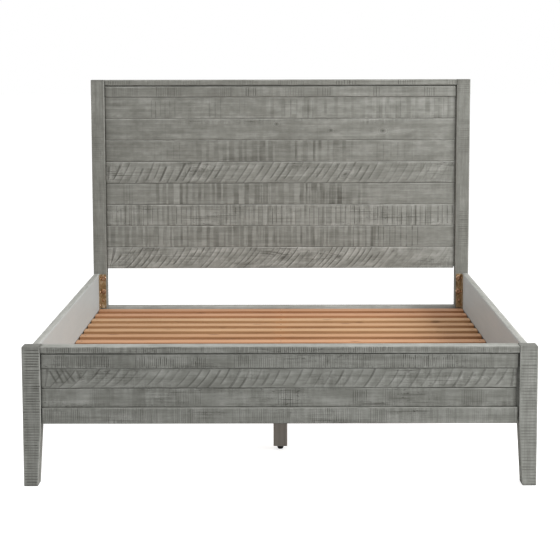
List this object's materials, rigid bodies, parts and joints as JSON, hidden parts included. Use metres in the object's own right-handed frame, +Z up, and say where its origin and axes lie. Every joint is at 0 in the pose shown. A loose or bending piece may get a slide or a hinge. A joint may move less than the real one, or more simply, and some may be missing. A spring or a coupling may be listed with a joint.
{
  "type": "bed frame",
  "caption": "Wooden bed frame with a tall plank headboard, a low plank footboard on tapered feet, side rails, and a slatted base on a centre beam with levelling feet.",
  "frame": {"origin": "centre of the bounding box's base: on the floor, under the middle of the frame", "axes": "+Z up; +Y along the bed's length, from the footboard towards the headboard; +X across it, to the right as seen from the foot"},
  "size_m": [1.635, 2.17, 1.264],
  "materials": {
    "frame_wood": "rough-sawn wood, grey weathered stain, matt",
    "plank_wood": "rough-sawn planks, grey weathered stain, matt",
    "rail_paint": "smooth wood, light grey paint, satin",
    "slat_pine": "planed bare pine",
    "support_pine": "planed bare pine",
    "leg_stain": "smooth wood, dark grey stain",
    "yellow_zinc": "steel, yellow zinc plated",
    "zinc_steel": "steel, clear zinc plated",
    "foot_plastic": "black moulded nylon"
  },
  "bodies": {
    "frame": {"headboard_post_left": "frame_wood", "headboard_post_right": "frame_wood", "headboard_cap": "frame_wood", "headboard_upper_rail": "frame_wood", "headboard_plank_1": "plank_wood", "headboard_plank_2": "plank_wood", "headboard_plank_3": "plank_wood", "headboard_plank_4": "plank_wood", "headboard_plank_5": "plank_wood", "headboard_plank_6": "plank_wood", "headboard_plank_7": "plank_wood", "headboard_plank_8": "plank_wood", "headboard_lower_rail": "frame_wood", "headboard_batten_left": "frame_wood", "headboard_batten_right": "frame_wood", "footboard_post_left": "frame_wood", "footboard_post_right": "frame_wood", "footboard_top_rail": "frame_wood", "footboard_upper_rail": "frame_wood", "footboard_plank_upper": "plank_wood", "footboard_plank_lower": "plank_wood", "footboard_bottom_rail": "frame_wood", "side_rail_left": "rail_paint", "side_rail_right": "rail_paint", "slat_ledge_left": "support_pine", "slat_ledge_right": "support_pine", "slat_01": "slat_pine", "slat_02": "slat_pine", "slat_03": "slat_pine", "slat_04": "slat_pine", "slat_05": "slat_pine", "slat_06": "slat_pine", "slat_07": "slat_pine", "slat_08": "slat_pine", "slat_09": "slat_pine", "slat_10": "slat_pine", "slat_11": "slat_pine", "slat_12": "slat_pine", "slat_13": "slat_pine", "slat_14": "slat_pine", "centre_beam": "support_pine", "beam_hanger_head": "yellow_zinc", "beam_hanger_foot": "yellow_zinc", "centre_leg_front": "leg_stain", "centre_leg_rear": "leg_stain", "leg_hanger_bolts": "zinc_steel", "leveller_nuts": "zinc_steel", "corner_bracket_head_left": "yellow_zinc", "corner_bracket_head_right": "yellow_zinc", "corner_bracket_foot_left": "yellow_zinc", "corner_bracket_foot_right": "yellow_zinc", "bracket_bolts": "yellow_zinc", "bolt_inserts": "yellow_zinc", "pan_head_screws": "yellow_zinc", "countersunk_screws": "yellow_zinc"},
    "front_foot": {"leveller_foot_front": "foot_plastic"},
    "front_stem": {"leveller_stem_front": "zinc_steel"},
    "rear_foot": {"leveller_foot_rear": "foot_plastic"},
    "rear_stem": {"leveller_stem_rear": "zinc_steel"}
  },
  "joints": [
    {"name": "front_foot_slide", "type": "slide", "parent": "frame", "child": "front_foot", "axis": [0, 0, -1], "range_m": [0, 0.012]},
    {"name": "front_stem_spin", "type": "hinge", "parent": "front_foot", "child": "front_stem", "pos_m": [0, -0.545, 0.02], "axis": [0, 0, -1], "range_deg": [0, 3460]},
    {"name": "rear_foot_slide", "type": "slide", "parent": "frame", "child": "rear_foot", "axis": [0, 0, -1], "range_m": [0, 0.012]},
    {"name": "rear_stem_spin", "type": "hinge", "parent": "rear_foot", "child": "rear_stem", "pos_m": [0, 0.551, 0.02], "axis": [0, 0, -1], "range_deg": [0, 3460]}
  ],
  "couplings": [
    {"joint": "front_stem_spin", "follows": "front_foot_slide", "rad_per_m": 5026.5},
    {"joint": "rear_stem_spin", "follows": "rear_foot_slide", "rad_per_m": 5026.5}
  ]
}
